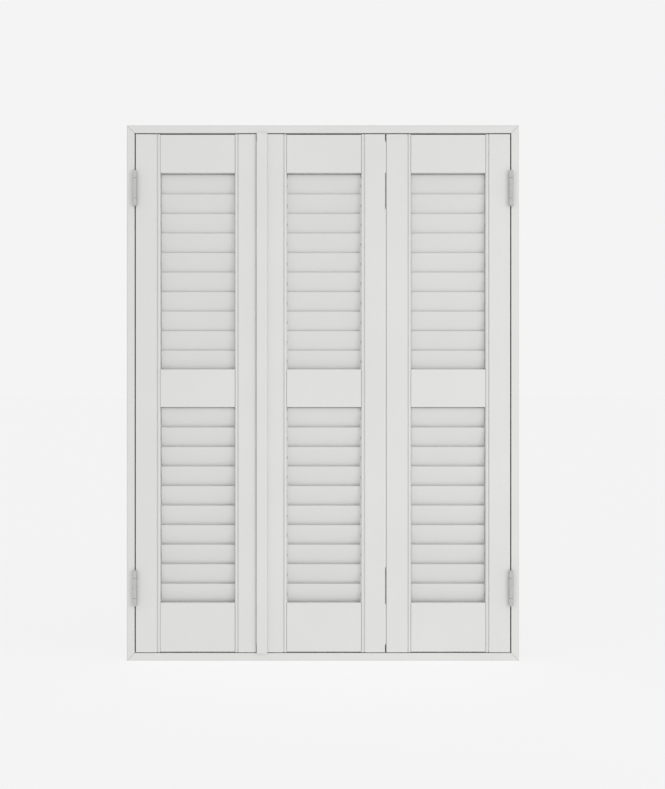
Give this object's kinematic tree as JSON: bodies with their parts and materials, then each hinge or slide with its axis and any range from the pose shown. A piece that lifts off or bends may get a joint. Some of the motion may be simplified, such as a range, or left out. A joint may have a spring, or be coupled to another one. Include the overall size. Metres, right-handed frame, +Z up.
{
  "type": "window shutter",
  "caption": "White plantation shutter in a mitred frame: louvred leaves with middle rails, hinged at both sides, one side folding in two, with a raised strip where they meet.",
  "frame": {"origin": "middle of the frame's underside, in width and in depth", "axes": "+Z up, +X to the right seen from the front, +Y to the back; the leaves open towards -Y"},
  "size_m": [0.8166, 0.0599, 1.115],
  "materials": {
    "timber_paint": "satin white paint on timber",
    "louvre_paint": "satin white paint on timber louvres",
    "hinge_metal": "polished chrome",
    "catch_plastic": "white moulded plastic",
    "catch_magnet": "dark ferrite",
    "strike_steel": "plated steel"
  },
  "bodies": {
    "frame": {"frame_left": "timber_paint", "frame_right": "timber_paint", "frame_bottom": "timber_paint", "frame_top": "timber_paint", "catch_left_body": "catch_plastic", "catch_left_magnet": "catch_magnet", "catch_right_body": "catch_plastic", "catch_right_magnet": "catch_magnet", "hinge_left_lower_fixed_plate": "hinge_metal", "hinge_left_lower_pin": "hinge_metal", "hinge_left_upper_fixed_plate": "hinge_metal", "hinge_left_upper_pin": "hinge_metal", "hinge_right_lower_fixed_plate": "hinge_metal", "hinge_right_lower_pin": "hinge_metal", "hinge_right_upper_fixed_plate": "hinge_metal", "hinge_right_upper_pin": "hinge_metal"},
    "left_leaf": {"left_stile_left": "timber_paint", "left_stile_right": "timber_paint", "left_rail_bottom": "timber_paint", "left_rail_middle": "timber_paint", "left_rail_top": "timber_paint", "left_louvres_lower": "louvre_paint", "left_louvres_upper": "louvre_paint", "hinge_left_lower_moving_plate": "hinge_metal", "hinge_left_upper_moving_plate": "hinge_metal", "catch_left_strike": "strike_steel"},
    "right_leaf": {"right_stile_left": "timber_paint", "right_stile_right": "timber_paint", "right_rail_bottom": "timber_paint", "right_rail_middle": "timber_paint", "right_rail_top": "timber_paint", "right_louvres_lower": "louvre_paint", "right_louvres_upper": "louvre_paint", "hinge_right_lower_moving_plate": "hinge_metal", "hinge_right_upper_moving_plate": "hinge_metal", "hinge_fold_lower_fixed_plate": "hinge_metal", "hinge_fold_lower_pin": "hinge_metal", "hinge_fold_upper_fixed_plate": "hinge_metal", "hinge_fold_upper_pin": "hinge_metal"},
    "middle_leaf": {"middle_stile_left": "timber_paint", "middle_stile_right": "timber_paint", "middle_rail_bottom": "timber_paint", "middle_rail_middle": "timber_paint", "middle_rail_top": "timber_paint", "middle_louvres_lower": "louvre_paint", "middle_louvres_upper": "louvre_paint", "meeting_strip": "timber_paint", "hinge_fold_lower_moving_plate": "hinge_metal", "hinge_fold_upper_moving_plate": "hinge_metal", "catch_right_strike": "strike_steel"}
  },
  "joints": [
    {"name": "left_leaf_swing", "type": "hinge", "parent": "frame", "child": "left_leaf", "pos_m": [-0.3906, -0.0301, 0.5575], "axis": [0, 0, -1], "range_deg": [0, 170]},
    {"name": "right_leaf_swing", "type": "hinge", "parent": "frame", "child": "right_leaf", "pos_m": [0.3906, -0.0301, 0.5575], "axis": [0, 0, 1], "range_deg": [0, 170]},
    {"name": "leaf_fold", "type": "hinge", "parent": "right_leaf", "child": "middle_leaf", "pos_m": [0.1306, 0.0121, 0.5575], "axis": [0, 0, -1], "range_deg": [0, 180]}
  ],
  "couplings": [
    {"joint": "leaf_fold", "follows": "right_leaf_swing", "ratio": 1.0587}
  ]
}
